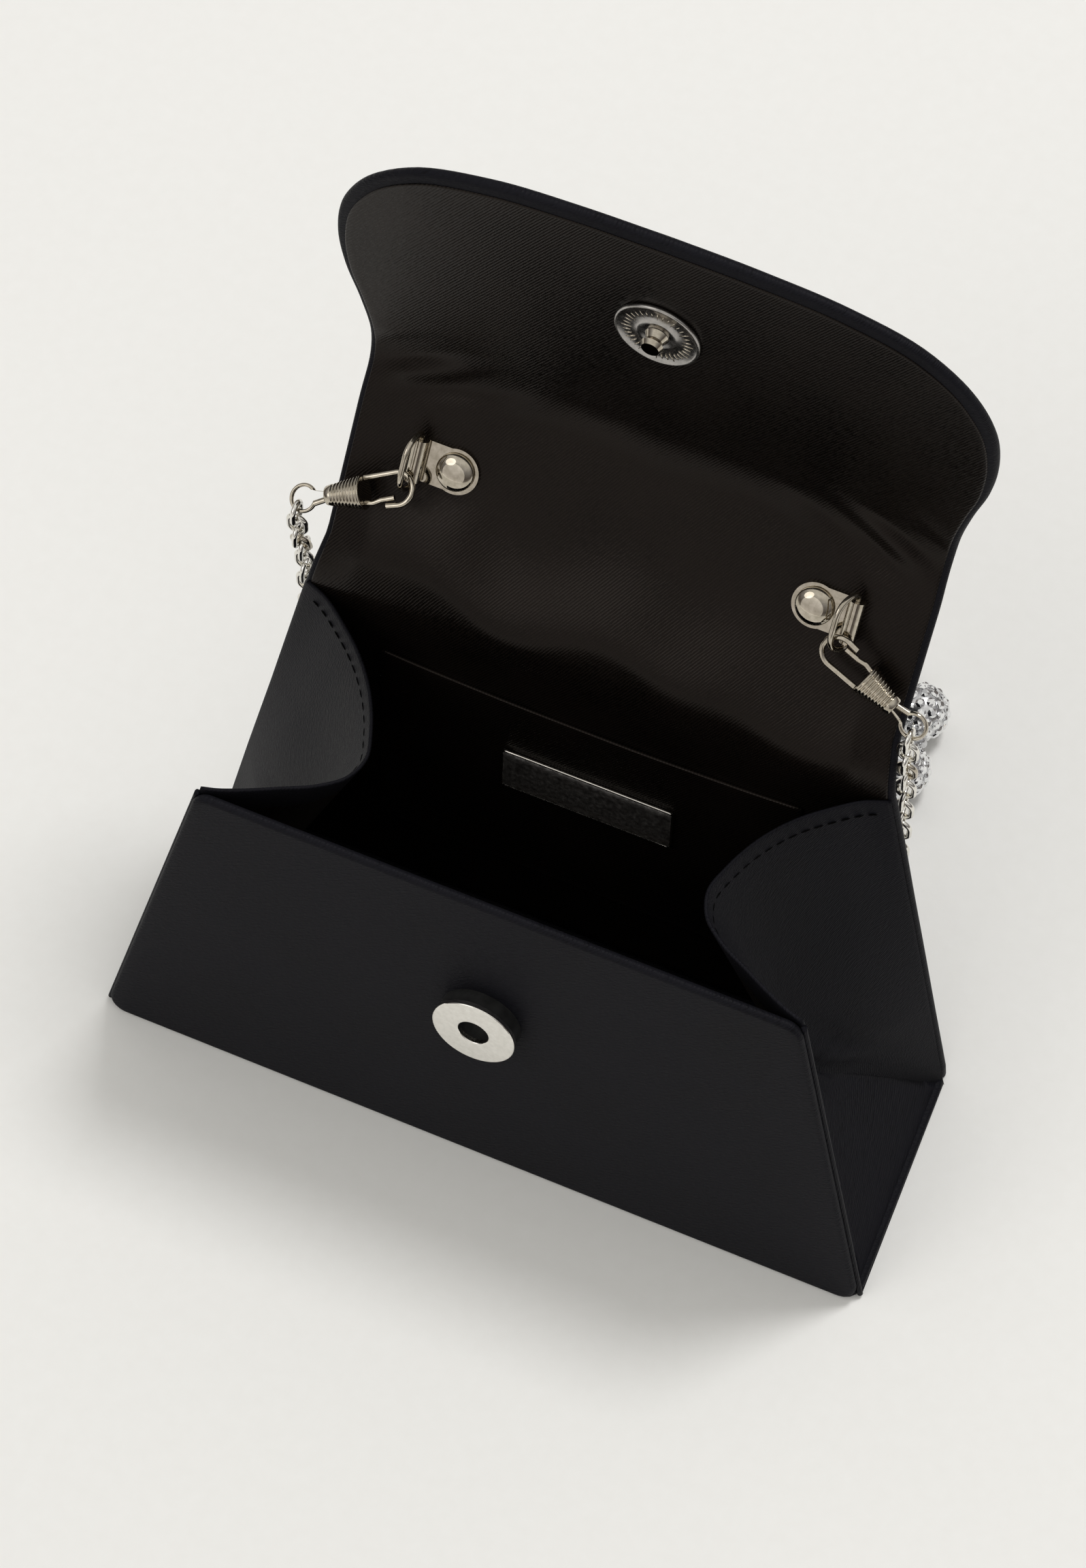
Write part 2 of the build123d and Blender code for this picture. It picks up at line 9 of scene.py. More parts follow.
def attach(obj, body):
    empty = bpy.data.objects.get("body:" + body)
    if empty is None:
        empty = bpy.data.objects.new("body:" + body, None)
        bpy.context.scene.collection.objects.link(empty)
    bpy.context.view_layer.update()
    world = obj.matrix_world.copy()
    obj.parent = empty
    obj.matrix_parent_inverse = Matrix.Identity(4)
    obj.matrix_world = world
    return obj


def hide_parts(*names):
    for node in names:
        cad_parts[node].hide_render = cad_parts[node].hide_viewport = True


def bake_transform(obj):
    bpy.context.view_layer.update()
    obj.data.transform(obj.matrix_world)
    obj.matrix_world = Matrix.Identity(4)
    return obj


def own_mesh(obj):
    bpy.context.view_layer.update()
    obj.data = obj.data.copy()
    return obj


# A black satin evening bag with its flap raised. Sizes are in millimetres; pieces are made in metres.

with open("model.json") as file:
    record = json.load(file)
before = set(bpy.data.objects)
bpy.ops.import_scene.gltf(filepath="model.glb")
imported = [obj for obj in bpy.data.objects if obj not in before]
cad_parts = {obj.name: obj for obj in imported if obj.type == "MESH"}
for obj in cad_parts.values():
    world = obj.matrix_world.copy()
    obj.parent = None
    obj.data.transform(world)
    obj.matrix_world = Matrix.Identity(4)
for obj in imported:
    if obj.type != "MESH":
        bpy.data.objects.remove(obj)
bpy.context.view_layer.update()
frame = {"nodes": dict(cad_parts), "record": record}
scene = bpy.context.scene
scene.view_settings.view_transform = "Standard"
MM = 0.001
SIDES = {"left": -1, "right": 1}

# ---------------------------------------------------------------- camera
right_way = Vector((0.915, 0.4035, 0)).normalized()
back_way = Vector((0.200, -0.454, 0.868)).normalized()
up_way = back_way.cross(right_way).normalized()
turn = Matrix((right_way, up_way, back_way)).transposed().to_4x4()
camera_data = bpy.data.cameras.new("camera")
camera_data.lens = 125
camera_data.sensor_width = 36
camera = bpy.data.objects.new("camera", camera_data)
camera.matrix_world = Matrix.Translation((0.2121, -0.4750, 1.0188)) @ turn
scene.collection.objects.link(camera)
scene.camera = camera


# ---------------------------------------------------------------- materials
def new_material(name):
    """A material with its node tree, its shader and a function that adds a node."""
    mat = bpy.data.materials.new(name)
    mat.use_nodes = True
    tree = mat.node_tree

    def add(kind, **values):
        node = tree.nodes.new(kind)
        for key, value in values.items():
            if key in node.inputs:
                node.inputs[key].default_value = value
            else:
                setattr(node, key.lower(), value)
        return node

    return mat, tree.nodes["Principled BSDF"], add, tree.links.new


def ramp(node, *stops):
    """Set a colour ramp's stops."""
    elements = node.color_ramp.elements
    for n, (place, colour) in enumerate(stops):
        element = elements[n] if n < 2 else elements.new(place)
        element.position = place
        element.color = (*colour, 1)


def twill(name, shade, light, rough, sheen, pitch, relief, lean, gloss, tint, rib_share):
    """Satin twill: fine diagonal ribs a pitch apart, with soft clouds. Its UV map is in millimetres."""
    mat, shader, add, link = new_material(name)
    place = add("ShaderNodeTexCoord")
    grain = add("ShaderNodeMapping")
    grain.inputs["Rotation"].default_value = (0, 0, radians(lean))
    link(place.outputs["UV"], grain.inputs["Vector"])
    ribs = add("ShaderNodeTexWave", Scale=0.314 / pitch, Distortion=0.5, Detail=1.0)
    ribs.inputs["Detail Scale"].default_value = 3.0
    link(grain.outputs["Vector"], ribs.inputs["Vector"])
    stretch = add("ShaderNodeMapping")
    stretch.inputs["Scale"].default_value = (1.0, 0.35, 1.0)
    link(grain.outputs["Vector"], stretch.inputs["Vector"])
    threads = add("ShaderNodeTexNoise", Scale=1 / pitch, Detail=3.0, Roughness=0.6)
    link(stretch.outputs["Vector"], threads.inputs["Vector"])
    clouds = add("ShaderNodeTexNoise", Scale=0.045, Detail=4.0, Roughness=0.5)
    link(place.outputs["UV"], clouds.inputs["Vector"])
    soft_ribs = add("ShaderNodeMapRange")
    soft_ribs.inputs["To Min"].default_value = 1 - rib_share
    link(ribs.outputs["Fac"], soft_ribs.inputs["Value"])
    weave = add("ShaderNodeMath", Operation="MULTIPLY")
    link(soft_ribs.outputs[0], weave.inputs[0])
    crisp = add("ShaderNodeMapRange")
    crisp.inputs["From Min"].default_value = 0.32
    crisp.inputs["From Max"].default_value = 0.68
    crisp.inputs["To Min"].default_value = 0.35
    link(threads.outputs["Fac"], crisp.inputs["Value"])
    link(crisp.outputs[0], weave.inputs[1])
    tone = add("ShaderNodeMath", Operation="ADD")
    link(weave.outputs[0], tone.inputs[0])
    link(clouds.outputs["Fac"], tone.inputs[1])
    colours = add("ShaderNodeValToRGB")
    ramp(colours, (0.6, shade), (1.0, light))
    link(tone.outputs[0], colours.inputs["Fac"])
    link(colours.outputs["Color"], shader.inputs["Base Color"])
    glossy = add("ShaderNodeMapRange")
    glossy.inputs["To Min"].default_value = rough - 0.10
    glossy.inputs["To Max"].default_value = rough + 0.10
    link(tone.outputs[0], glossy.inputs["Value"])
    link(glossy.outputs[0], shader.inputs["Roughness"])
    bump = add("ShaderNodeBump", Strength=relief, Distance=0.0002)
    link(weave.outputs[0], bump.inputs["Height"])
    link(bump.outputs["Normal"], shader.inputs["Normal"])
    shader.inputs["Specular IOR Level"].default_value = gloss
    shader.inputs["Specular Tint"].default_value = (*tint, 1)
    shader.inputs["Sheen Weight"].default_value = sheen
    shader.inputs["Sheen Roughness"].default_value = 0.45
    shader.inputs["Sheen Tint"].default_value = (*tint, 1)
    return mat


def metal(name, dark, light, rough, scratch=0.12):
    """Polished or brushed metal with faint handling marks."""
    mat, shader, add, link = new_material(name)
    place = add("ShaderNodeTexCoord")
    marks = add("ShaderNodeTexNoise", Scale=900.0, Detail=3.0, Roughness=0.6)
    link(place.outputs["Object"], marks.inputs["Vector"])
    colours = add("ShaderNodeValToRGB")
    ramp(colours, (0.3, dark), (0.7, light))
    link(marks.outputs["Fac"], colours.inputs["Fac"])
    link(colours.outputs["Color"], shader.inputs["Base Color"])
    glossy = add("ShaderNodeMapRange")
    glossy.inputs["To Min"].default_value = rough * 0.6
    glossy.inputs["To Max"].default_value = rough * 1.5
    link(marks.outputs["Fac"], glossy.inputs["Value"])
    link(glossy.outputs[0], shader.inputs["Roughness"])
    bump = add("ShaderNodeBump", Strength=scratch, Distance=0.00001)
    link(marks.outputs["Fac"], bump.inputs["Height"])
    link(bump.outputs["Normal"], shader.inputs["Normal"])
    shader.inputs["Metallic"].default_value = 1.0
    return mat


def plain(name, dark, light, rough, scale=400.0, gloss=0.5):
    """A dull surface with a mottled tone."""
    mat, shader, add, link = new_material(name)
    place = add("ShaderNodeTexCoord")
    marks = add("ShaderNodeTexNoise", Scale=scale, Detail=4.0, Roughness=0.6)
    link(place.outputs["Object"], marks.inputs["Vector"])
    colours = add("ShaderNodeValToRGB")
    ramp(colours, (0.35, dark), (0.65, light))
    link(marks.outputs["Fac"], colours.inputs["Fac"])
    link(colours.outputs["Color"], shader.inputs["Base Color"])
    bump = add("ShaderNodeBump", Strength=0.2, Distance=0.00005)
    link(marks.outputs["Fac"], bump.inputs["Height"])
    link(bump.outputs["Normal"], shader.inputs["Normal"])
    shader.inputs["Roughness"].default_value = rough
    shader.inputs["Specular IOR Level"].default_value = gloss
    return mat


satin = twill(
    "satin",
    shade=(0.0022, 0.0022, 0.0028),
    light=(0.0062, 0.0062, 0.0086),
    rough=0.43,
    sheen=0.006,
    pitch=0.42,
    relief=0.8,
    lean=60,
    gloss=0.085,
    tint=(0.97, 0.95, 1.0),
    rib_share=0.35,
)
lining = twill(
    "lining",
    shade=(0.0016, 0.0013, 0.0011),
    light=(0.0062, 0.0046, 0.0038),
    rough=0.21,
    sheen=0.002,
    pitch=0.55,
    relief=0.30,
    lean=35,
    gloss=0.16,
    tint=(1.0, 0.86, 0.78),
    rib_share=0.85,
)
thread = plain("thread", (0.0008, 0.0008, 0.0008), (0.002, 0.002, 0.002), 0.7, 2500.0, 0.03)
nickel = metal("nickel", (0.40, 0.36, 0.29), (0.56, 0.51, 0.43), 0.06)
plate_metal = metal("plate_metal", (0.62, 0.59, 0.57), (0.80, 0.77, 0.74), 0.36, 0.25)
plate_edge = metal("plate_edge", (0.55, 0.52, 0.48), (0.70, 0.67, 0.62), 0.18)
stud_metal = metal("stud_metal", (0.30, 0.29, 0.28), (0.44, 0.42, 0.40), 0.20)
silver = metal("silver", (0.72, 0.70, 0.65), (0.84, 0.82, 0.77), 0.10)
steel = metal("steel", (0.42, 0.41, 0.40), (0.58, 0.57, 0.55), 0.25)
stone = metal("stone", (0.78, 0.79, 0.80), (0.96, 0.96, 0.96), 0.03, 0.0)
setting = metal("setting", (0.55, 0.55, 0.56), (0.72, 0.72, 0.73), 0.22)
board = plain("board", (0.26, 0.24, 0.21), (0.36, 0.34, 0.31), 0.85)
magnet = plain("magnet", (0.008, 0.008, 0.008), (0.02, 0.02, 0.02), 0.45)
cord_fibre = plain("cord_fibre", (0.4, 0.4, 0.41), (0.6, 0.6, 0.61), 0.6, 3000.0)

silver_nodes = ("snap_face", "chain_left", "chain_right", "chain_top_left", "chain_top_right")
finishes = {
    "nickel": nickel,
    "steel": steel,
    "magnet": magnet,
    "board": board,
    "plate": plate_metal,
    "cord": cord_fibre,
    "rhinestone": stone,
    "satin": satin,
    "lining": lining,
}
for entry in frame["record"]["subparts"]:
    node = frame["nodes"][entry["node"]]
    node.data.materials.clear()
    finish = silver if entry["node"] in silver_nodes else finishes[entry["material_slot"]]
    node.data.materials.append(finish)


# ---------------------------------------------------------------- mesh helpers
def make_piece(name, points, faces, finish, slot, uv=None, smooth=True):
    """A mesh object from points in millimetres."""
    mesh = bpy.data.meshes.new(name)
    mesh.from_pydata([tuple(p) for p in np.asarray(points, float) * MM], [], faces)
    if uv is not None:
        layer = mesh.uv_layers.new(name="cloth")
        for loop in mesh.loops:
            layer.data[loop.index].uv = uv[loop.vertex_index]
    mesh.polygons.foreach_set("use_smooth", [smooth] * len(mesh.polygons))
    mesh.materials.append(finish)
    piece = bpy.data.objects.new(name, mesh)
    scene.collection.objects.link(piece)
    return piece


def smooth_line(points, count):
    """Points spaced along a smooth curve through the given ones."""
    p = np.array(points, float)
    knots = np.concatenate(([0], np.cumsum(np.linalg.norm(np.diff(p, axis=0), axis=1))))
    slopes = np.gradient(p, knots, axis=0)
    t = np.linspace(0, knots[-1], count)
    k = np.clip(np.searchsorted(knots, t, "right") - 1, 0, len(p) - 2)
    span = (knots[k + 1] - knots[k])[:, None]
    f = ((t - knots[k])[:, None]) / span
    first = p[k] * (2 * f**3 - 3 * f**2 + 1) + slopes[k] * span * (f**3 - 2 * f**2 + f)
    return first + p[k + 1] * (3 * f**2 - 2 * f**3) + slopes[k + 1] * span * (f**3 - f**2)


def waves(x, y, seed, size):
    """Gentle seeded unevenness, between about -1 and 1."""
    pick = np.random.default_rng(seed)
    total = np.zeros_like(x, dtype=float)
    for n in range(7):
        angle = pick.uniform(0, pi)
        length = size * pick.uniform(0.5, 1.6)
        total += np.sin((x * cos(angle) + y * sin(angle)) * 2 * pi / length + pick.uniform(0, 6.3))
    return total / 4


def cloth_panel(
    name, place, across, along, outer, inner, roll, finish, slot, relief=None, open_sides=()
):
    """A closed cloth panel with rounded edges.

    across and along are grids of the panel's own coordinates; place turns them and a depth into points.
    outer and inner are the depths of its faces, roll is how far its rounded edge stands out, and
    relief gives how far each face is moved."""
    rows, columns = across.shape
    lift_outer, lift_inner = relief(across, along) if relief else (0, 0)
    faces_points = [
        place(across, along, outer + lift_outer).reshape(-1, 3),
        place(across, along, inner + lift_inner).reshape(-1, 3),
    ]
    uv = [np.stack((across, along), -1).reshape(-1, 2)] * 2
    count = rows * columns
    faces = []
    for r in range(rows - 1):
        for c in range(columns - 1):
            a = r * columns + c
            quad = (a, a + 1, a + 1 + columns, a + columns)
            faces.append(quad)
            faces.append(tuple(count + q for q in reversed(quad)))
    bottom = [("bottom", c) for c in range(columns - 1)]
    right = [("right", r * columns + columns - 1) for r in range(rows - 1)]
    top = [("top", (rows - 1) * columns + c) for c in range(columns - 1, 0, -1)]
    left = [("left", r * columns) for r in range(rows - 1, 0, -1)]
    loop = bottom + right + top + left
    ring = np.array([i for _, i in loop])
    spots = np.stack((across.ravel()[ring], along.ravel()[ring]), -1)
    run = np.roll(spots, -1, 0) - spots
    out = np.stack((run[:, 1], -run[:, 0]), -1)
    out /= np.maximum(np.linalg.norm(out, axis=1, keepdims=True), 1e-9)
    shut = np.array([side not in open_sides for side, _ in loop])
    out[~shut] = 0
    normal = out + np.roll(out, 1, 0)
    normal /= np.maximum(np.linalg.norm(normal, axis=1, keepdims=True), 1e-9)
    near = np.broadcast_to(outer + lift_outer, across.shape).ravel()[ring]
    far = np.broadcast_to(inner + lift_inner, across.shape).ravel()[ring]
    steps = 6
    rim_start = 2 * count
    for k in range(1, steps):
        angle = pi * k / steps
        spot = spots + normal * roll * sin(angle)
        depth = (near + far) / 2 - (far - near) / 2 * cos(angle)
        faces_points.append(place(spot[:, 0], spot[:, 1], depth))
        uv.append(spot)
    size = len(loop)

    def rim(k, n):
        """The vertex on the rim's row k at place n of the loop."""
        n %= size
        if k == 0:
            return int(ring[n])
        return int(count + ring[n]) if k == steps else rim_start + (k - 1) * size + n

    for n in range(size):
        if shut[n]:
            for k in range(steps):
                faces.append((rim(k, n), rim(k + 1, n), rim(k + 1, n + 1), rim(k, n + 1)))
    points = np.concatenate(faces_points)
    uv = np.concatenate(uv)
    used = np.zeros(len(points), bool)
    used[[i for face in faces for i in face]] = True
    renumber = np.cumsum(used) - 1
    faces = [tuple(int(renumber[i]) for i in face) for face in faces]
    return make_piece(name, points[used], faces, finish, slot, uv[used])


def tube(name, line, radius, finish, slot, sides=8, closed=False):
    """A round tube along points in millimetres."""
    p = np.array(line, float)
    ahead = np.roll(p, -1, 0) - np.roll(p, 1, 0)
    if not closed:
        ahead[0] = p[1] - p[0]
        ahead[-1] = p[-1] - p[-2]
    ahead /= np.linalg.norm(ahead, axis=1, keepdims=True)
    helper = np.array((0.31, 0.22, 0.92))
    a = np.cross(ahead, helper)
    a /= np.linalg.norm(a, axis=1, keepdims=True)
    b = np.cross(ahead, a)
    radii = np.broadcast_to(radius, len(p))[:, None]
    turns = [2 * pi * k / sides for k in range(sides)]
    rings = [p + (a * cos(turn) + b * sin(turn)) * radii for turn in turns]
    points = np.stack(rings, 1).reshape(-1, 3)
    faces = []
    spans = len(p) if closed else len(p) - 1
    for n in range(spans):
        m = (n + 1) % len(p)
        for k in range(sides):
            j = (k + 1) % sides
            faces.append((n * sides + k, m * sides + k, m * sides + j, n * sides + j))
    if not closed:
        faces.append(tuple(range(sides)))
        faces.append(tuple(reversed(range((len(p) - 1) * sides, len(p) * sides))))
    uv = [(k * 0.5, n * 0.5) for n in range(len(p)) for k in range(sides)]
    return make_piece(name, points, faces, finish, slot, uv)


def join(name, parts):
    """One object from several."""
    bpy.ops.object.select_all(action="DESELECT")
    for part in parts:
        part.select_set(True)
    bpy.context.view_layer.objects.active = parts[0]
    bpy.ops.object.join()
    parts[0].name = name
    return parts[0]


def box_grid(x0, x1, s0, s1, columns, rows):
    """A plain grid of panel coordinates."""
    return np.meshgrid(np.linspace(x0, x1, columns), np.linspace(s0, s1, rows))


def tapered(width, s0, s1, columns, rows, low_round=0.0, high_round=0.0):
    """A grid whose half width changes along it, with rounded lower and upper corners."""
    share = np.linspace(0, 1, rows)
    if low_round or high_round:
        share = 0.5 - 0.5 * np.cos(np.linspace(0, pi, rows))
    along = (s0 + (s1 - s0) * share)[:, None] * np.ones(columns)
    cut = np.zeros_like(along)
    for radius, gap in ((low_round, along - s0), (high_round, s1 - along)):
        if radius:
            inside = np.clip(1 - gap / radius, 0, 1)
            cut += radius * (1 - np.sqrt(1 - inside**2))
    return np.linspace(-1, 1, columns)[None, :] * (width(along) - cut), along


# ---------------------------------------------------------------- strap: balls on a cord, on the floor behind
ROUTE = [(63.67, 45.7), (62.6, 52), (52, 59), (41.5, 68), (42.5, 79.5), (49.5, 91), (46.0, 107.5)]
ROUTE += [(28, 117), (6, 119)]
ROUTE += [(-16, 117), (-36, 109), (-50, 94), (-58, 76), (-65.1, 59), (-66.3, 45.7)]
STRAND_Z = 6.5
FIRST_BALL = 22.5
LAST_BALL_GAP = 9.5
BALL_PITCH = 15.4
BALL_RADIUS = 6.5
# a spacer's profile, as distance along the cord and radius
SPACER = ((-1.1, 0.9), (-0.8, 1.7), (-0.5, 2.1), (0, 2.3), (0.5, 2.1), (0.8, 1.7), (1.1, 0.9))


def floor_curve(name, bevel):
    """The strand's line as a smooth NURBS curve."""
    data = bpy.data.curves.new(name, "CURVE")
    data.dimensions = "3D"
    data.resolution_u = 16
    data.bevel_depth = bevel
    data.bevel_resolution = 3
    data.use_fill_caps = True
    spline = data.splines.new("NURBS")
    spline.points.add(len(ROUTE) - 1)
    for point, (x, y) in zip(spline.points, ROUTE):
        point.co = (x * MM, y * MM, STRAND_Z * MM, 1)
    spline.order_u = 3
    spline.use_endpoint_u = True
    curve = bpy.data.objects.new(name, data)
    scene.collection.objects.link(curve)
    return curve


bare = floor_curve("bare", 0)
bpy.context.view_layer.update()
line_mesh = bpy.data.meshes.new_from_object(bare)
strand_line = np.array([v.co for v in line_mesh.vertices]) / MM
bpy.data.objects.remove(bare)
strand_run = np.concatenate(([0], np.cumsum(np.linalg.norm(np.diff(strand_line, axis=0), axis=1))))
strand_length = strand_run[-1]


def on_strand(distance):
    """The strand's point and direction at a distance from its right end."""
    spot = np.array([np.interp(distance, strand_run, strand_line[:, k]) for k in range(3)])
    later = np.array([np.interp(distance + 0.5, strand_run, strand_line[:, k]) for k in range(3)])
    return spot, (later - spot) / np.linalg.norm(later - spot)


strand_core = floor_curve("strand_cord", 0.8 * MM)
strand_core.data.materials.append(cord_fibre)
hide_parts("strand_core")
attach(strand_core, "bag")


def facetted_stone(spot, out, width):
    """A small round stone: a girdle, a crown and a flat table."""
    side = np.cross(out, (0.3, 0.9, 0.1))
    side /= np.linalg.norm(side)
    other = np.cross(out, side)
    points = []
    for radius, height, shift in ((0.5, -0.1, 0), (0.5, 0.05, 0), (0.27, 0.22, 0.5)):
        for k in range(8):
            angle = 2 * pi * (k + shift) / 8
            around = (side * cos(angle) + other * sin(angle)) * radius * width
            points.append(spot + around + out * height * width)
    faces = [(k, (k + 1) % 8, 8 + (k + 1) % 8, 8 + k) for k in range(8)]
    for k in range(8):
        faces.append((8 + k, 8 + (k + 1) % 8, 16 + k))
        faces.append((16 + k, 8 + (k + 1) % 8, 16 + (k + 1) % 8))
    faces.append(tuple(range(16, 24)))
    return points, faces


def ball_piece(number, centre, axis):
    """A ball set with stones all round, over a silver setting."""
    rows = []
    stone_width = 2.2
    belts = 8
    for belt in range(belts):
        tilt = pi * (belt + 0.5) / belts
        ring = max(1, round(2 * pi * sin(tilt) * BALL_RADIUS / (stone_width * 1.18)))
        rows += [(tilt, 2 * pi * (k + 0.5 * (belt % 2)) / ring) for k in range(ring)]
    side = np.cross(axis, (0, 0, 1))
    side /= np.linalg.norm(side)
    other = np.cross(axis, side)
    stone_points, stone_faces = [], []
    for tilt, angle in rows:
        out = axis * cos(tilt) + (side * cos(angle) + other * sin(angle)) * sin(tilt)
        points, faces = facetted_stone(centre + out * (BALL_RADIUS - 0.5), out, stone_width)
        start = len(stone_points)
        stone_points += points
        stone_faces += [tuple(start + i for i in face) for face in faces]
    name = f"ball_{number:02d}_stones"
    stones = make_piece(name, stone_points, stone_faces, stone, "rhinestone", smooth=False)
    bpy.ops.mesh.primitive_uv_sphere_add(
        segments=24, ring_count=14, radius=(BALL_RADIUS - 0.55) * MM, location=[c * MM for c in centre]
    )
    body = bpy.context.object
    body.name = f"ball_{number:02d}_setting"
    bpy.ops.object.shade_smooth()
    body.data.materials.append(setting)
    return stones, body


ball_stones, ball_settings, spacer_parts = [], [], []
ball_total = int((strand_length - FIRST_BALL - LAST_BALL_GAP) / BALL_PITCH) + 1
for number in range(ball_total):
    spot, way = on_strand(FIRST_BALL + number * BALL_PITCH)
    stones, body = ball_piece(number, spot, way)
    ball_stones.append(stones)
    ball_settings.append(body)
    if number:
        spot, way = on_strand(FIRST_BALL + (number - 0.5) * BALL_PITCH)
        line = [spot + way * place for place, _ in SPACER]
        spacer_parts.append(tube("spacer", line, [radius for _, radius in SPACER], setting, "nickel", 16))
stones_piece = join("ball_stones", ball_stones)
settings_piece = join("ball_settings", ball_settings)
spacers_piece = join("ball_spacers", spacer_parts)
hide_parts("strand_balls")
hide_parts("strand_balls")
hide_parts("strand_spacers")
for piece in (stones_piece, settings_piece, spacers_piece):
    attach(piece, "bag")
[c * MM for c in (*ROUTE[0], STRAND_Z)]

# ---------------------------------------------------------------- where the panels lie
THICK = 2.4
HALF_DEPTH = 28.5
FRONT_TALL, FRONT_LEAN = 87.0, 10.5
BACK_TALL, BACK_LEAN = 97.0, 6.0
FRONT_LENGTH = hypot(FRONT_TALL, FRONT_LEAN)
FRONT_UP = np.array((0, FRONT_LEAN, FRONT_TALL)) / FRONT_LENGTH
FRONT_IN = np.array((0, FRONT_TALL, -FRONT_LEAN)) / FRONT_LENGTH
BACK_LENGTH = hypot(BACK_TALL, BACK_LEAN)
ROOF_LENGTH = 52.2
LIP_LENGTH = 68.4
FLAP_HALF = 61.2
ANCHOR_UP = 32.3
STUD_UP = 39.7
FOLD = np.array(
    (
        HALF_DEPTH + BACK_LEAN - THICK / 2 * BACK_TALL / BACK_LENGTH,
        BACK_TALL + THICK / 2 * BACK_LEAN / BACK_LENGTH,
    )
)
BACK_ANGLE = atan2(BACK_TALL, BACK_LEAN)
ROOF_ANGLE = radians(55.4)
LIP_ANGLE = radians(90.7)
WAIST_AT = BACK_LENGTH + ROOF_LENGTH
SEAM_AT = BACK_LENGTH + 26.0
FOLD_REACH = 4.0
WAIST_REACH = 6.0
WAIST = FOLD + np.array((cos(ROOF_ANGLE), sin(ROOF_ANGLE))) * ROOF_LENGTH


def grids(*values):
    """Values as float arrays of one shape."""
    return np.broadcast_arrays(*(np.asarray(value, float) for value in values))


def heading(angle):
    """A unit direction in the side view, for an angle above the horizontal."""
    return np.stack((np.cos(angle), np.sin(angle)), -1)


def place_flap(x, s, depth):
    """A point on the back panel or the flap, by distance up from the base and depth from outside."""
    x, s, depth = grids(x, s, depth)
    angle = np.where(s < BACK_LENGTH, BACK_ANGLE, np.where(s < WAIST_AT, ROOF_ANGLE, LIP_ANGLE))
    spot = FOLD + heading(angle) * (s - BACK_LENGTH)[..., None]
    spot = np.where((s > WAIST_AT)[..., None], WAIST + heading(angle) * (s - WAIST_AT)[..., None], spot)
    bends = (
        (BACK_LENGTH, FOLD, BACK_ANGLE, ROOF_ANGLE, FOLD_REACH),
        (WAIST_AT, WAIST, ROOF_ANGLE, LIP_ANGLE, WAIST_REACH),
    )
    for at, corner, before, after, reach in bends:
        inside = np.abs(s - at) < reach
        way = 1 if after > before else -1
        radius = reach / tan(abs(after - before) / 2)
        start = corner - heading(np.array(before)) * reach
        bend_angle = before + (after - before) * (s - at + reach) / (2 * reach)
        centre = start + way * radius * heading(np.array(before + pi / 2))
        arc = centre - way * radius * heading(bend_angle + pi / 2)
        spot = np.where(inside[..., None], arc, spot)
        angle = np.where(inside, bend_angle, angle)
    outward = THICK / 2 - depth
    y = spot[..., 0] + np.sin(angle) * outward
    z = spot[..., 1] - np.cos(angle) * outward
    return np.stack((x, y, z), -1)


def place_front(x, s, depth):
    """A point on the front panel, by distance up from its bottom edge and depth from outside."""
    x, s, depth = grids(x, s, depth)
    return (
        np.array((0, -HALF_DEPTH, 0))
        + x[..., None] * np.array((1.0, 0, 0))
        + s[..., None] * FRONT_UP
        + depth[..., None] * FRONT_IN
    )


def place_base(x, y, depth):
    """A point on the base, by height above its underside."""
    x, y, depth = grids(x, y, depth)
    return np.stack((x, y, depth), -1)


def back_half(s):
    """Half the width of the back panel and the flap's roof."""
    low = 83.0 - 20.0 * s / BACK_LENGTH
    share = np.clip((s - BACK_LENGTH + 4) / 14, 0, 1)
    return np.where(s < BACK_LENGTH - 4, low, (1 - share) * 63.6 + share * FLAP_HALF)


# ---------------------------------------------------------------- base
across, along = tapered(lambda s: 84.6 - 2.5 * (s + 28) / 56, -27.6, 27.6, 30, 30, 3.5, 3.5)
base_satin = cloth_panel("base_satin", place_base, across, along, 0.02, 1.8, 0.8, satin, "satin")
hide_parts("base_cover")
across, along = tapered(lambda s: 82.3 - 2.5 * (s + 28) / 56, -24.6, 24.6, 30, 12)
base_lining = cloth_panel(
    "base_lining_cloth", place_base, across, along, 1.9, 2.5, 0.3, lining, "lining",
    lambda x, y: (0 * x, waves(x, y, 3, 45) * 0.15),
)
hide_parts("base_lining")
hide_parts("base_board")

# ---------------------------------------------------------------- front panel
def front_relief(x, s):
    """The satin swells a little over its board, and its inner face is plain."""
    u = np.clip(1 - (x / 76) ** 2, 0, 1)
    v = np.clip(1 - (s / FRONT_LENGTH * 2 - 1) ** 2, 0, 1)
    return -0.35 * u * v + waves(x, s, 11, 60) * 0.10 * v, 0 * x


def front_half(s):
    """Half the width of the front panel."""
    return 85.5 - 21.0 * s / FRONT_LENGTH


across, along = tapered(lambda s: front_half(s) - 0.9, 0.9, FRONT_LENGTH - 0.9, 60, 60, 4.0, 2.5)
front_satin = cloth_panel(
    "front_satin", place_front, across, along, 0.0, 2.2, 0.9, satin, "satin", front_relief
)
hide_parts("front_cover", "front_board")
across, along = tapered(lambda s: front_half(s) - 3.0, 3.4, FRONT_LENGTH - 2.6, 50, 30)
front_lining = cloth_panel(
    "front_lining_cloth", place_front, across, along, 2.1, 2.5, 0.4, lining, "lining",
    lambda x, s: (0 * x, 0.35 + waves(x, s, 5, 40) * 0.25),
)
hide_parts("front_lining")

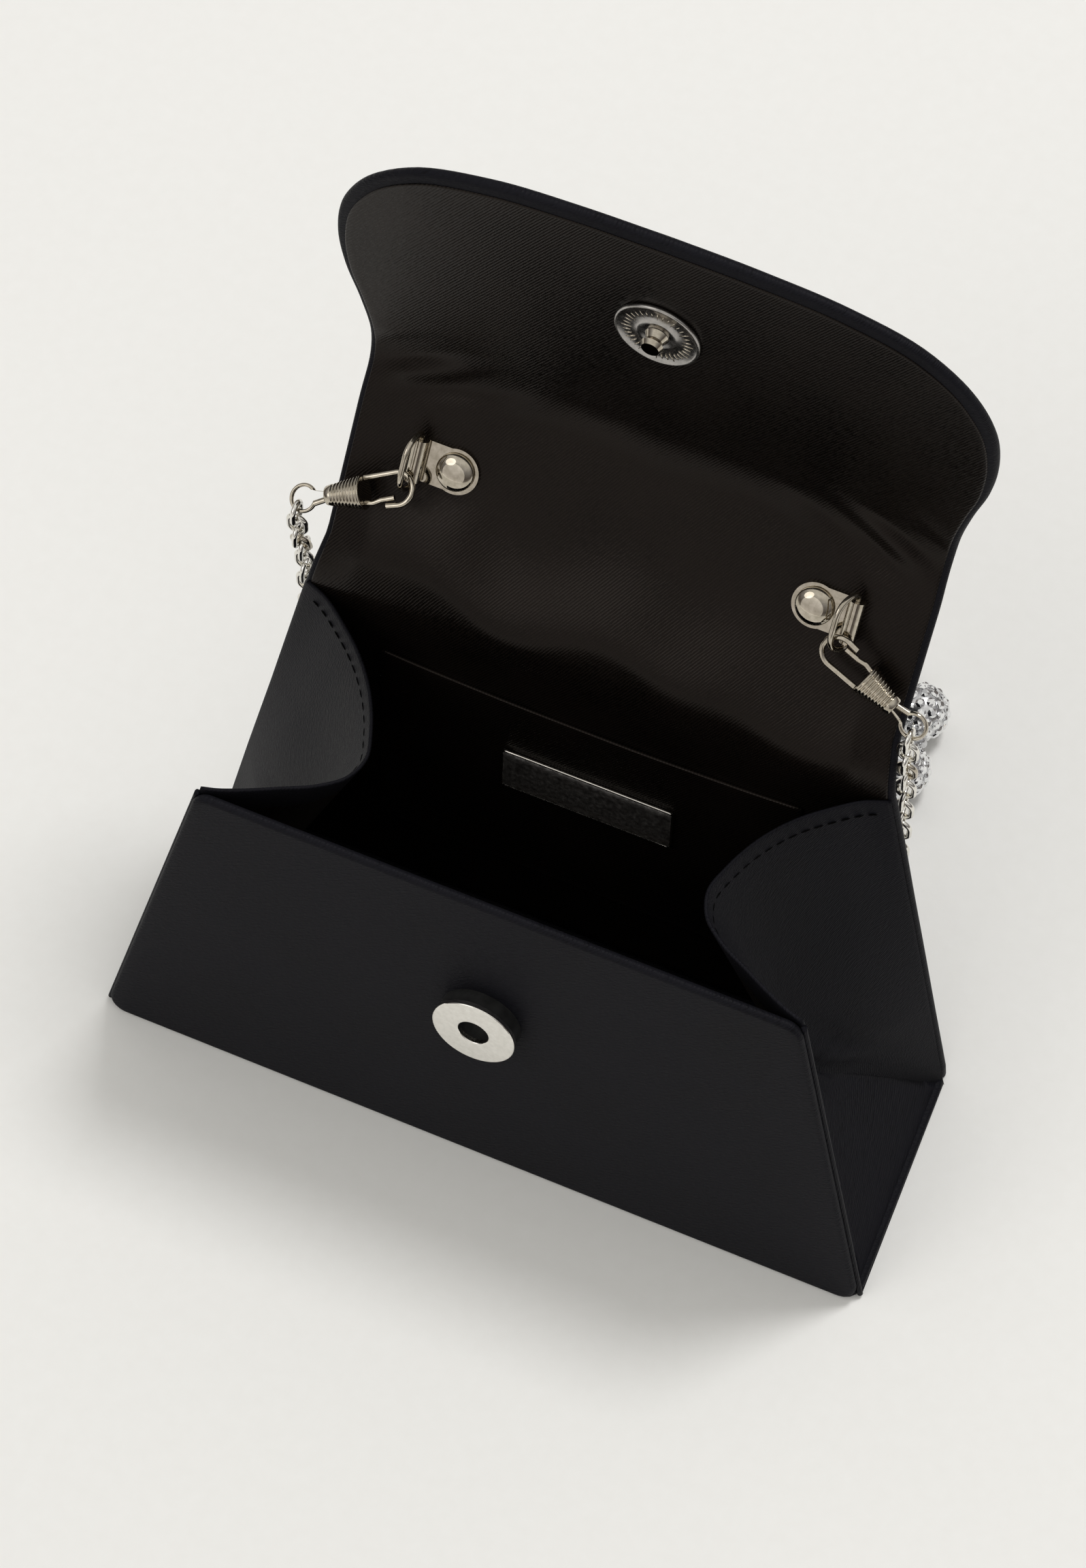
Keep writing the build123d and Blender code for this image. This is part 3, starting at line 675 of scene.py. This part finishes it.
# ---------------------------------------------------------------- back panel and flap
# the flap's edge on its right-hand side, from the roof to the middle of the far edge
OUTLINE = [(FLAP_HALF, WAIST_AT - 12), (61.0, WAIST_AT - 3), (61.6, WAIST_AT + 5), (63.6, WAIST_AT + 14.5)]
OUTLINE += [(66.2, WAIST_AT + 24), (67.3, WAIST_AT + 34), (66.0, WAIST_AT + 44), (61.0, WAIST_AT + 53.5)]
OUTLINE += [(51.5, WAIST_AT + 61.5), (36.0, WAIST_AT + 66.3), (18.0, WAIST_AT + 68.0)]
OUTLINE += [(0.0, WAIST_AT + LIP_LENGTH)]


def flap_grid(side_inset, far_inset, columns, rows):
    """A grid over the flap from the roof's middle to the far edge, inset at its sides and far edge."""
    edge = smooth_line([(FLAP_HALF, SEAM_AT), (FLAP_HALF, SEAM_AT + 7)] + OUTLINE, 240)
    run = np.gradient(edge, axis=0)
    normal = np.stack((run[:, 1], -run[:, 0]), -1)
    normal /= np.linalg.norm(normal, axis=1, keepdims=True)
    far_share = np.clip((edge[:, 1:] - WAIST_AT - 20) / 30, 0, 1)
    edge = edge - normal * (side_inset + (far_inset - side_inset) * far_share)
    edge[0, 1] = SEAM_AT
    reach = np.concatenate(([0], np.cumsum(np.linalg.norm(np.diff(edge, axis=0), axis=1))))
    corner = reach[int(np.argmin(np.abs(edge[:, 1] - (WAIST_AT + 55.5)) + 100 * (edge[:, 0] < 40)))]
    v = np.linspace(0, 1, rows)
    u = np.linspace(-1, 1, columns)
    side = np.stack([np.interp(v * corner, reach, edge[:, k]) for k in range(2)], -1)
    far_at = corner + (1 - np.abs(u)) * (reach[-1] - corner)
    far = np.stack([np.interp(far_at, reach, edge[:, k]) for k in range(2)], -1)
    far[:, 0] *= np.sign(u)
    share = v[:, None]
    low_across = u[None, :] * side[:, :1]
    far_across = far[None, :, 0] + u[None, :] * (side[:, :1] - side[-1, 0])
    across = low_across * (1 - share) + share * far_across
    along = side[:, 1:] * np.ones(columns) + share * (far[None, :, 1] - side[-1, 1])
    return across, along


def flap_swell(x, s):
    """The flap's satin swells a little over its board."""
    u = np.clip(1 - (x / 60) ** 2, 0, 1)
    return -0.3 * u + waves(x, s, 21, 55) * 0.10, 0 * x


across, along = tapered(lambda s: back_half(s) - 0.9, 0.9, SEAM_AT, 50, 52)
back_satin = cloth_panel(
    "back_satin", place_flap, across, along, 0.0, 2.2, 0.9, satin, "satin", flap_swell, ("top",)
)
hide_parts("back_cover", "back_board", "roof_cover", "roof_board")
across, along = flap_grid(0.9, 0.9, 50, 54)
flap_satin = cloth_panel(
    "flap_satin", place_flap, across, along, 0.0, 2.2, 0.9, satin, "satin", flap_swell, ("bottom",)
)
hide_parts("lip_cover", "lip_board")


def bumpy(x, s):
    """How far the slack lining stands off: puckers at the waist and a hanging fold at the back fold."""
    waist = np.exp(-(((s - WAIST_AT - 1) / 7) ** 2))
    ends = np.clip((np.abs(x) - 18) / 38, 0, 1) ** 1.5
    pucker = np.sin(np.abs(x) * 0.30 + (s - WAIST_AT) * 0.45) * waist * ends * 1.4
    sway = 2.0 * np.sin(x * 0.105 + 0.6) + 1.4 * np.sin(x * 0.19 + 2.0) - x * 0.03
    hang = s - BACK_LENGTH - 7.0 - sway
    fold = np.where(hang > 0, np.exp(-((hang / 12.0) ** 2)), np.exp(-((hang / 7.0) ** 2)))
    spread = 1 - 0.5 * np.clip(np.abs(x) / 60, 0, 1) ** 2
    even = waves(x, s, 31, 34) * np.clip(1.2 - (s - WAIST_AT) / 24, 0.12, 1) * 0.25
    low_share = np.clip(1 - (s - WAIST_AT) / 12, 0.25, 1)
    return np.maximum(pucker + 3.2 * fold * spread + even + 0.3 * low_share, 0)


def keep_flat(x, s, value):
    """Fade the slack out beneath the snap and the strap anchors."""
    reach = 10
    anchor_at = BACK_LENGTH + ANCHOR_UP
    for cx, cs in ((0, WAIST_AT + 40.0), (-42, anchor_at), (42, anchor_at)):
        near = np.exp(-(((x - cx) ** 2 + (s - cs) ** 2) / reach**2) ** 2)
        value = value * (1 - near)
    return value


def lining_relief(x, s):
    """The lining's hidden face is plain; its shown face carries the slack."""
    edge = np.clip((back_half(np.minimum(s, WAIST_AT)) - np.abs(x)) / 9, 0.05, 1)
    return 0 * x, keep_flat(x, s, bumpy(x, s)) * edge


# outer depth, inner depth and edge roll
LINING_DEPTHS = (2.0, 2.42, 0.4)
across, along = tapered(lambda s: back_half(s) - 1.6, 3.4, SEAM_AT, 110, 100)
back_lining = cloth_panel(
    "back_lining_cloth",
    place_flap,
    across,
    along,
    *LINING_DEPTHS,
    lining,
    "lining",
    lining_relief,
    ("top",),
)
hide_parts("back_lining", "roof_lining")
across, along = flap_grid(1.6, 3.0, 110, 110)
flap_lining = cloth_panel(
    "flap_lining_cloth",
    place_flap,
    across,
    along,
    *LINING_DEPTHS,
    lining,
    "lining",
    lining_relief,
    ("bottom",),
)
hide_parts("lip_lining")

# ---------------------------------------------------------------- domed rivets
def turned(name, origin, axis, profile, finish, slot, sides=40):
    """A turned piece, from (distance along the axis, radius) pairs."""
    axis = np.array(axis, float) / np.linalg.norm(axis)
    a = np.cross(axis, (1.0, 0, 0))
    a /= np.linalg.norm(a)
    b = np.cross(axis, a)
    points, faces = [], []
    for height, radius in profile:
        for k in range(sides):
            angle = 2 * pi * k / sides
            points.append(np.array(origin) + axis * height + (a * cos(angle) + b * sin(angle)) * radius)
    for n in range(len(profile) - 1):
        for k in range(sides):
            j = (k + 1) % sides
            faces.append((n * sides + k, n * sides + j, (n + 1) * sides + j, (n + 1) * sides + k))
    faces.append(tuple(reversed(range(sides))))
    faces.append(tuple(range((len(profile) - 1) * sides, len(profile) * sides)))
    return make_piece(name, points, faces, finish, slot)


ROOF_IN = (0, -sin(ROOF_ANGLE), cos(ROOF_ANGLE))
DOME = [(-2.0, 1.4), (0.02, 1.4), (0.02, 3.7), (0.15, 3.95), (0.35, 4.0)]
DOME += [(0.5 + 1.4 * sin(radians(t)), 3.95 * cos(radians(t))) for t in range(0, 90, 6)] + [(1.9, 0.05)]
for name, side in SIDES.items():
    seat = place_flap(side * 38.0, BACK_LENGTH + ANCHOR_UP, THICK + 0.8)
    rivet = turned(f"rivet_cap_{name}", seat, ROOF_IN, DOME, nickel, "nickel")
    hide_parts(f"rivet_{name}")
    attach(rivet, "flap_roof")

# the clips' sleeves: a tapering coil and a plain collar
HOLD = {"left": (-46.611, 43.398, 122.920), "right": (44.694, 43.814, 122.351)}
CLIP_ANGLE = radians(-26.5)
COILS = 8
SLEEVE = [(8.0, 0.5), (8.0, 3.2), (8.05, 3.5), (8.2, 3.6)]
for n in range(COILS):
    for share in np.linspace(0.12, 0.88, 7):
        place = 8.25 + 0.77 * (n + share)
        SLEEVE.append((place, 3.65 - 0.22 * (place - 8.0) - 0.75 * (1 - sin(pi * share) ** 0.6)))
SLEEVE += [(14.5, 1.9), (14.6, 2.15), (14.8, 2.2), (15.9, 2.0), (16.1, 1.85), (16.2, 0.6)]
for name, side in SIDES.items():
    clip_way = (
        side * cos(CLIP_ANGLE),
        sin(CLIP_ANGLE) * cos(ROOF_ANGLE),
        sin(CLIP_ANGLE) * sin(ROOF_ANGLE),
    )
    coil = turned(f"sleeve_coil_{name}", HOLD[name], clip_way, SLEEVE, nickel, "nickel", 32)
    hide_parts(f"sleeve_{name}")
    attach(coil, f"clip_{name}")

# the stud's stamped disc, left bare but for its rolled rim and a ring of punch marks
stud_seat = place_flap(-0.7, WAIST_AT + STUD_UP, THICK)
LIP_IN = (0, -sin(LIP_ANGLE), cos(LIP_ANGLE))
DISC = [(0.0, 8.6), (0.35, 8.75), (0.8, 8.75), (1.0, 8.6), (1.05, 8.35), (0.98, 8.1), (0.86, 7.9)]
DISC += [(0.86, 4.4), (0.96, 4.2), (1.02, 3.9), (1.02, 3.3), (0.95, 3.0), (0.9, 0.2)]
stud_disc = turned("stud_disc", stud_seat, LIP_IN, DISC, stud_metal, "nickel", 64)
marks = []
for k in range(36):
    angle = 2 * pi * k / 36
    middle = stud_seat + np.array((cos(angle) * 6.2, 0, sin(angle) * 6.2)) + np.array(LIP_IN) * 0.86
    reach = np.array((cos(angle), 0, sin(angle))) * (0.75 if k % 3 else 1.1)
    line = [middle - reach, middle, middle + reach]
    marks.append(tube("mark", line, [0.08, 0.14, 0.08], nickel, "nickel", 6))
marks_piece = join("stud_marks", marks)
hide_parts("stud_plate")
for piece in (stud_disc, marks_piece):
    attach(piece, "flap_lip")

# the bare name plate: a brushed face in a bright bevelled frame
plate_middle = BACK_LENGTH - 97.19 + 57.5
across, along = box_grid(-18.6, 18.6, plate_middle - 6.1, plate_middle + 6.1, 12, 6)
plate_face = cloth_panel(
    "name_plate_face", place_flap, across, along, 3.45, 4.15, 0.05, plate_metal, "plate"
)
corners = [(-18.7, -6.2), (18.7, -6.2), (18.7, 6.2), (-18.7, 6.2)]
edge = []
for n, (x, s) in enumerate(corners):
    nx, ns = corners[(n + 1) % 4]
    for t in np.linspace(0.02, 0.98, 12):
        edge.append(place_flap(x + (nx - x) * t, plate_middle + s + (ns - s) * t, 3.95))
plate_frame = tube("name_plate_frame", edge, 0.3, plate_edge, "plate", 8, closed=True)
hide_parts("name_plate")
for piece in (plate_face, plate_frame):
    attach(piece, "bag")

# ---------------------------------------------------------------- slip pocket
def pocket_top(x):
    """Where the pocket's edge sags between its ends."""
    return 80.0 + 1.8 * (x / 46) ** 2


columns = np.linspace(-46, 45, 60)
share = np.linspace(0, 1, 30)[:, None]
across = np.ones((30, 1)) * columns
along = 22 + share * (pocket_top(columns)[None, :] - 22)


def pocket_relief(x, s):
    """The pocket's hem is a little thicker than the rest."""
    hem = np.exp(-((s - 80) ** 2) / 60)
    return 0.2 * hem, 0.35 * hem + waves(x, s, 8, 30) * 0.08


pocket = cloth_panel(
    "slip_pocket_cloth", place_flap, across, along, 2.5, 3.3, 0.35, lining, "lining", pocket_relief
)
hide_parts("slip_pocket")

# ---------------------------------------------------------------- sides
# Plan of the mouth on the right-hand side, from the front panel round the inward fold to the back.
MOUTH = [(64.2, -15.3), (61.5, -14.6), (56.5, -12.7), (50.0, -9.8), (42.8, -6.2), (38.3, -2.3), (36.5, 2.8)]
MOUTH += [(38.0, 8.5), (41.2, 15.0), (46.3, 21.3), (52.5, 26.4), (58.2, 30.2), (62.8, 32.0)]
APEX_TALL = 28.0
APEX = np.array((60.5, 3.5, APEX_TALL))
FOLD_FROM, FOLD_TO = 0.42, 0.58
SIDE_ACROSS = 80.0
SIDE_TALL = 90.0
HEM_TALL = 10.0
mouth_line = smooth_line(MOUTH, 400)


def side_front(z):
    """The side's front edge, just inside the front panel."""
    return np.stack((85.2 - 21.0 * z / FRONT_TALL, -HALF_DEPTH + FRONT_LEAN * z / FRONT_TALL + 2.75, z), -1)


def side_back(z):
    """The side's back edge, just inside the back panel."""
    return np.stack((82.7 - 20.0 * z / BACK_TALL, HALF_DEPTH + BACK_LEAN * z / BACK_TALL - 2.75, z), -1)


def side_middle(a, b):
    """A point on a right-hand side's middle surface."""
    a, b = grids(a, b)
    u = a / SIDE_ACROSS
    low = np.clip(b / APEX_TALL, None, 1.0)
    foot = np.full_like(u, 0.0)
    front = side_front(foot) + (side_front(foot + APEX_TALL) - side_front(foot)) * low[..., None]
    back = side_back(foot) + (side_back(foot + APEX_TALL) - side_back(foot)) * low[..., None]
    crease_front = side_front(foot) + (APEX - side_front(foot)) * low[..., None]
    crease_back = side_back(foot) + (APEX - side_back(foot)) * low[..., None]
    first = (u / FOLD_FROM)[..., None]
    middle = ((u - FOLD_FROM) / (FOLD_TO - FOLD_FROM))[..., None]
    last = ((u - FOLD_TO) / (1 - FOLD_TO))[..., None]
    v_shape = np.where(
        (u < FOLD_FROM)[..., None],
        front + (crease_front - front) * first,
        np.where(
            (u > FOLD_TO)[..., None],
            crease_back + (back - crease_back) * last,
            crease_front + (crease_back - crease_front) * middle,
        ),
    )
    place = np.clip(u, 0, 1) * 399
    mouth_x = np.interp(place, np.arange(400), mouth_line[:, 0])
    mouth_y = np.interp(place, np.arange(400), mouth_line[:, 1])
    mouth_z = 86.8 + 8.2 * (mouth_y + 15.3) / 47.3 - 1.5 * np.exp(-(((u - 0.5) / 0.2) ** 2))
    mouth = np.stack((mouth_x, mouth_y, mouth_z), -1)
    high = ((b - APEX_TALL) / (SIDE_TALL - APEX_TALL))[..., None]
    return np.where(high > 0, v_shape + (mouth - v_shape) * high, v_shape)


def place_side(side):
    """Turns a side's own coordinates and a depth from outside into points."""

    def place(a, b, depth):
        a, b, depth = grids(a, b, depth)
        spot = side_middle(a, b)
        step = 1.2
        run = side_middle(np.minimum(a + step, SIDE_ACROSS), b) - side_middle(np.maximum(a - step, 0), b)
        rise = side_middle(a, b + step) - side_middle(a, np.maximum(b - step, 0))
        inward = -np.cross(run, rise)
        size = np.linalg.norm(inward, axis=-1, keepdims=True)
        fallback = np.array((-0.9, 0, 0.4))
        inward = np.where(size > 1e-6, inward / np.maximum(size, 1e-6), fallback)
        spot = spot + inward * depth[..., None]
        return spot * np.array((side, 1, 1))

    return place


def side_grid(b0, b1, columns, rows):
    """A grid over part of a side's height."""
    return box_grid(0.0, SIDE_ACROSS, b0, b1, columns, rows)


def side_relief(a, b):
    """Soft unevenness in the side's satin and lining."""
    quiet = np.clip((b - 30) / 30, 0, 1) * np.clip(np.minimum(a, SIDE_ACROSS - a) / 10, 0, 1)
    crease = np.exp(-(((b - 31) / 7) ** 2) - ((a - 50) / 12) ** 2) * np.sin(a * 0.5 + b * 0.55) * 0.8
    lift = waves(a, b, 41, 50) * 0.25 * quiet + crease
    return lift, lift


def flipped(piece):
    """Turn a mirrored piece's faces the right way out."""
    piece.data.flip_normals()
    return piece


def squash_hem(piece):
    """Give a piece of the side's hem its own copy of its mesh data."""
    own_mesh(piece)


for name, side in SIDES.items():
    place = place_side(side)
    seam_at = SIDE_TALL - HEM_TALL
    # name, what it stands for, lower and upper end, depths and roll, finish, open side, rows
    walls = (
        (f"side_satin_{name}", "gusset", 0.0, seam_at, (-0.3, 0.1, 0.1), satin, "satin", "top", 30),
        (f"side_lining_{name}_cloth", "gusset_lining", 0.0, seam_at, (0.2, 0.5, 0.1), lining, "lining", "top", 30),
        (f"side_hem_{name}", "gusset_hem", seam_at, SIDE_TALL - 0.4, (-0.3, 0.5, 0.4), satin, "satin", "bottom", 10),
    )
    for label, stands_for, low, high, depths, finish, slot, open_side, rows in walls:
        across, along = side_grid(low, high, 90, rows)
        piece = cloth_panel(label, place, across, along, *depths, finish, slot, side_relief, (open_side,))
        if side < 0:
            flipped(piece)
        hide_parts(f"{stands_for}_{name}")
        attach(piece, "bag")
        if stands_for == "gusset_hem":
            squash_hem(piece)

    # a row of stitches 3 mm below the hem's edge
    stitches = []
    walk = np.linspace(2.0, SIDE_ACROSS - 2.0, 1200)
    line = place(walk, np.full_like(walk, SIDE_TALL - 3.4), np.full_like(walk, -0.45))
    reach = np.concatenate(([0], np.cumsum(np.linalg.norm(np.diff(line, axis=0), axis=1))))
    at = 0.0
    while at + 2.0 < reach[-1]:
        spots = np.linspace(at, at + 1.9, 6)
        points = np.stack([np.interp(spots, reach, line[:, k]) for k in range(3)], -1)
        stitches.append(tube("stitch", points, [0.05, 0.16, 0.19, 0.19, 0.16, 0.05], thread, "satin", 6))
        at += 2.7
    stitching = join(f"side_stitching_{name}", stitches)
    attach(stitching, "bag")
    squash_hem(stitching)

    # piping in the seam between the front panel and the side
    heights = np.linspace(0.8, 85.6, 60)
    piping = side_front(heights) * np.array((side, 1, 1)) + np.array((side * 0.15, -0.55, 0))
    seam = tube(f"front_piping_{name}", piping, 0.6, satin, "satin", 10)
    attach(seam, "bag")

# ---------------------------------------------------------------- what the base, front and pocket cloth follow; the back and flap cloth are baked where they lie
for piece in (base_satin, base_lining, front_satin, front_lining, pocket):
    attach(piece, "bag")


def profile_point(s):
    """A point in the middle of the back panel or flap, in metres."""
    return [float(c) * MM for c in place_flap(0.0, s, THICK / 2)]


for piece in (back_satin, back_lining):
    profile_point(BACK_LENGTH - 5)
    profile_point(BACK_LENGTH + 5)
    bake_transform(piece)
for piece in (flap_satin, flap_lining):
    profile_point(WAIST_AT - 6)
    profile_point(WAIST_AT + 6)
    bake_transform(piece)

# ---------------------------------------------------------------- the strap's remaining links
# for each side, where the clip's links hang from and the links' pitch
LINKS = {"left": ((-66.3, 36.0, 113.67), 4.127), "right": ((63.67, 36.97, 112.42), 4.077)}
CHAIN_Y = 38.2
for name, ((x, y, z), pitch) in LINKS.items():
    first = z + 1.15 + 0.15 - 2.65
    centre = np.array((x, (y + CHAIN_Y) / 2, first - 3 * pitch))
    up = np.array((0, y - CHAIN_Y, 2 * pitch))
    up = up / np.linalg.norm(up)
    wide = np.array((1.0, 0, 0))
    shape = []
    for k in range(40):
        angle = 2 * pi * k / 40
        lift = 0.85 * (1 if sin(angle) > 0 else -1) + 1.8 * sin(angle)
        shape.append(centre + wide * 1.8 * cos(angle) + up * lift)
    link_piece = tube(f"joining_link_{name}", shape, 0.55, nickel, "nickel", 12, closed=True)
    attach(link_piece, f"links_{name}")

# ---------------------------------------------------------------- floor
bpy.ops.mesh.primitive_plane_add(size=8, location=(0, 0, 0))
floor = bpy.context.object
floor.name = "floor"
floor_mat, floor_shader, floor_add, floor_link = new_material("floor")
floor_place = floor_add("ShaderNodeTexCoord")
floor_marks = floor_add("ShaderNodeTexNoise", Scale=260.0, Detail=5.0, Roughness=0.6)
floor_link(floor_place.outputs["Object"], floor_marks.inputs["Vector"])
floor_tone = floor_add("ShaderNodeValToRGB")
ramp(floor_tone, (0.3, (0.835, 0.832, 0.81)), (0.7, (0.85, 0.848, 0.828)))
floor_link(floor_marks.outputs["Fac"], floor_tone.inputs["Fac"])
floor_link(floor_tone.outputs["Color"], floor_shader.inputs["Base Color"])
floor_bump = floor_add("ShaderNodeBump", Strength=0.12, Distance=0.0004)
floor_link(floor_marks.outputs["Fac"], floor_bump.inputs["Height"])
floor_link(floor_bump.outputs["Normal"], floor_shader.inputs["Normal"])
floor_shader.inputs["Roughness"].default_value = 0.9
floor_shader.inputs["Specular IOR Level"].default_value = 0.1
floor.data.materials.append(floor_mat)

# ---------------------------------------------------------------- light
world = bpy.data.worlds.new("studio")
world.use_nodes = True
sky = world.node_tree
sky_place = sky.nodes.new("ShaderNodeTexCoord")
sky_split = sky.nodes.new("ShaderNodeSeparateXYZ")
sky_tone = sky.nodes.new("ShaderNodeValToRGB")
ramp(
    sky_tone,
    (0.0, (0.30, 0.28, 0.26)),
    (0.12, (0.16, 0.14, 0.13)),
    (0.45, (0.42, 0.41, 0.41)),
    (0.8, (1.0, 0.985, 0.945)),
)
sky.links.new(sky_place.outputs["Generated"], sky_split.inputs[0])
sky.links.new(sky_split.outputs["Z"], sky_tone.inputs["Fac"])
sky.links.new(sky_tone.outputs["Color"], sky.nodes["Background"].inputs["Color"])
sky.nodes["Background"].inputs["Strength"].default_value = 0.78
scene.world = world


def lamp(name, place, target, size, power, colour=(1, 1, 1)):
    """A round soft lamp aimed at a point."""
    data = bpy.data.lights.new(name, "AREA")
    data.shape = "DISK"
    data.size = size
    data.energy = power
    data.color = colour
    light = bpy.data.objects.new(name, data)
    light.location = place
    way = Vector(target) - Vector(place)
    light.rotation_euler = way.to_track_quat("-Z", "Y").to_euler()
    scene.collection.objects.link(light)
    return light


lamp("key", (0.35, 0.85, 1.9), (0, 0, 0.05), 0.55, 17.8, (0.99, 0.985, 0.985))
lamp("fill", (-1.1, -1.3, 1.5), (0, 0, 0.08), 1.2, 5.5, (1.0, 0.985, 0.95))
lamp("front_card", (-0.45, -2.0, 0.55), (0, 0, 0.12), 2.2, 6.5, (1.0, 0.98, 0.95))
